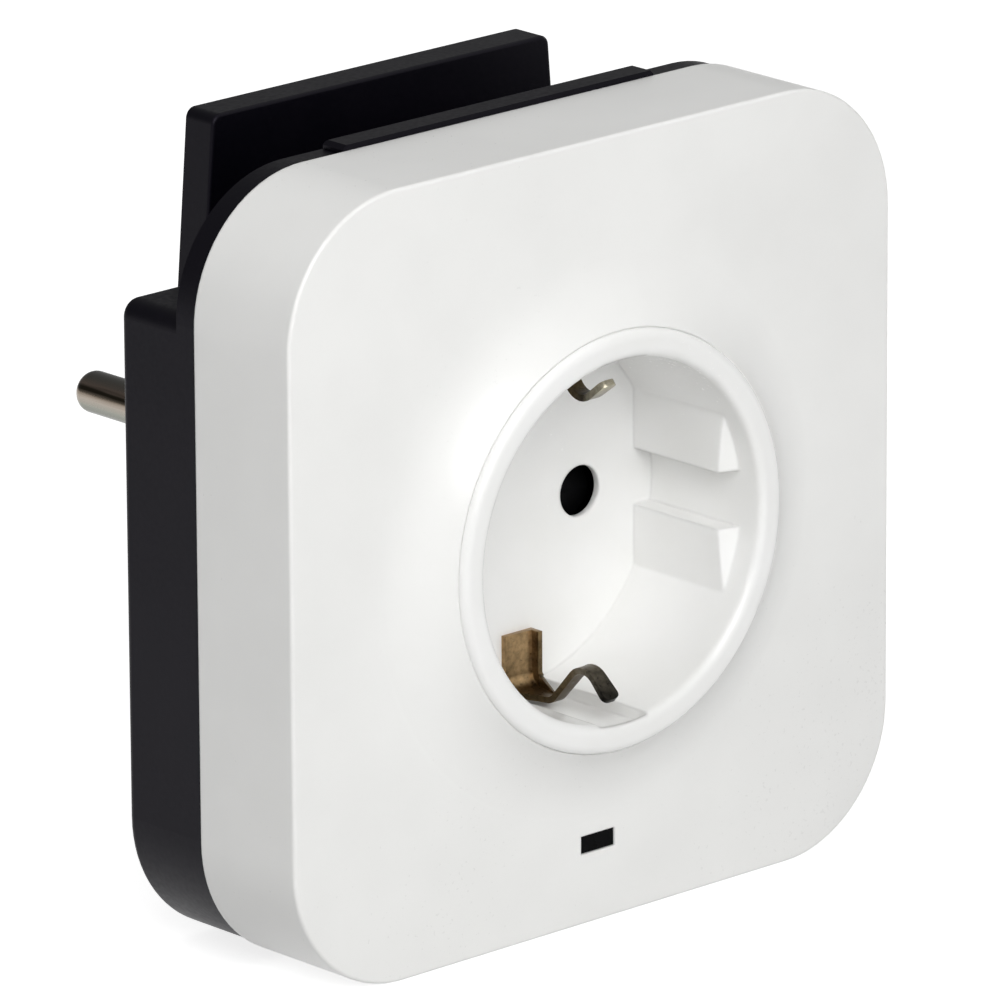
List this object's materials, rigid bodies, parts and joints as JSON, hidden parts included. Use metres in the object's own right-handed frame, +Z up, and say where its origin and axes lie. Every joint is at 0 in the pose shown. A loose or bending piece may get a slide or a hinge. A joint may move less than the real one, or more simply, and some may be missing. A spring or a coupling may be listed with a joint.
{
  "type": "plug-in charging module",
  "caption": "Square plug-in module with an earthed mains socket in its white front cover, charging ports and a phone slot in its black housing, and a round two-pin plug behind.",
  "frame": {"origin": "midway between the two plug pins, on the flat face of the plug body", "axes": "+Y along the plug pins into the wall, +Z up, +X to the right as seen from the room; the socket faces -Y"},
  "size_m": [0.088, 0.0777, 0.0887],
  "materials": {
    "white_plastic": "fine satin moulding, slightly glossy",
    "black_plastic": "satin black moulding",
    "smoked_lens": "smoked, polished",
    "clear_pipe": "clear moulded bar",
    "plated_steel": "zinc or nickel plated",
    "port_plastic": "plain moulding",
    "circuit_board": "solder mask",
    "capacitor_sleeve": "shrink sleeve",
    "ferrite": "sintered core with taped winding",
    "varistor_coat": "dipped coat",
    "shutter_plastic": "plain dark moulding",
    "clip_metal": "plated bronze, rolled",
    "contact_brass": "stamped",
    "nickel_plate": "nickel plated brass, drawn"
  },
  "bodies": {
    "module": {"front_cover": "white_plastic", "socket_cup": "white_plastic", "led_window": "smoked_lens", "light_pipe": "clear_pipe", "indicator_led": "clear_pipe", "middle_housing": "black_plastic", "port_bezel": "black_plastic", "port_shell_left": "plated_steel", "port_shell_right": "plated_steel", "port_tongue_left": "port_plastic", "port_tongue_right": "port_plastic", "port_board": "circuit_board", "main_board": "circuit_board", "input_capacitor": "capacitor_sleeve", "output_capacitor_1": "capacitor_sleeve", "output_capacitor_2": "capacitor_sleeve", "transformer": "ferrite", "varistor_1": "varistor_coat", "varistor_2": "varistor_coat", "varistor_3": "varistor_coat", "thermal_fuse": "plated_steel", "shutter_carrier": "shutter_plastic", "shutter_spring": "plated_steel", "earth_clip_top": "clip_metal", "earth_clip_bottom": "clip_metal", "earth_bracket": "clip_metal", "contact_left": "contact_brass", "contact_right": "contact_brass", "board_strap_left": "contact_brass", "board_strap_right": "contact_brass", "plug_pin_left": "nickel_plate", "plug_pin_right": "nickel_plate", "rear_cover": "black_plastic", "plug_body": "black_plastic", "plug_earth_strip": "clip_metal", "plug_earth_sleeve": "clip_metal", "housing_screws": "plated_steel", "board_screws": "plated_steel"},
    "shutter": {"safety_shutter": "shutter_plastic"}
  },
  "joints": [
    {"name": "shutter_turn", "type": "hinge", "parent": "module", "child": "shutter", "pos_m": [0, -0.0377, -0.0026], "axis": [0, 1, 0], "range_deg": [0, 40], "stiffness_Nm_per_rad": 0.002, "springref_deg": -11.46}
  ]
}
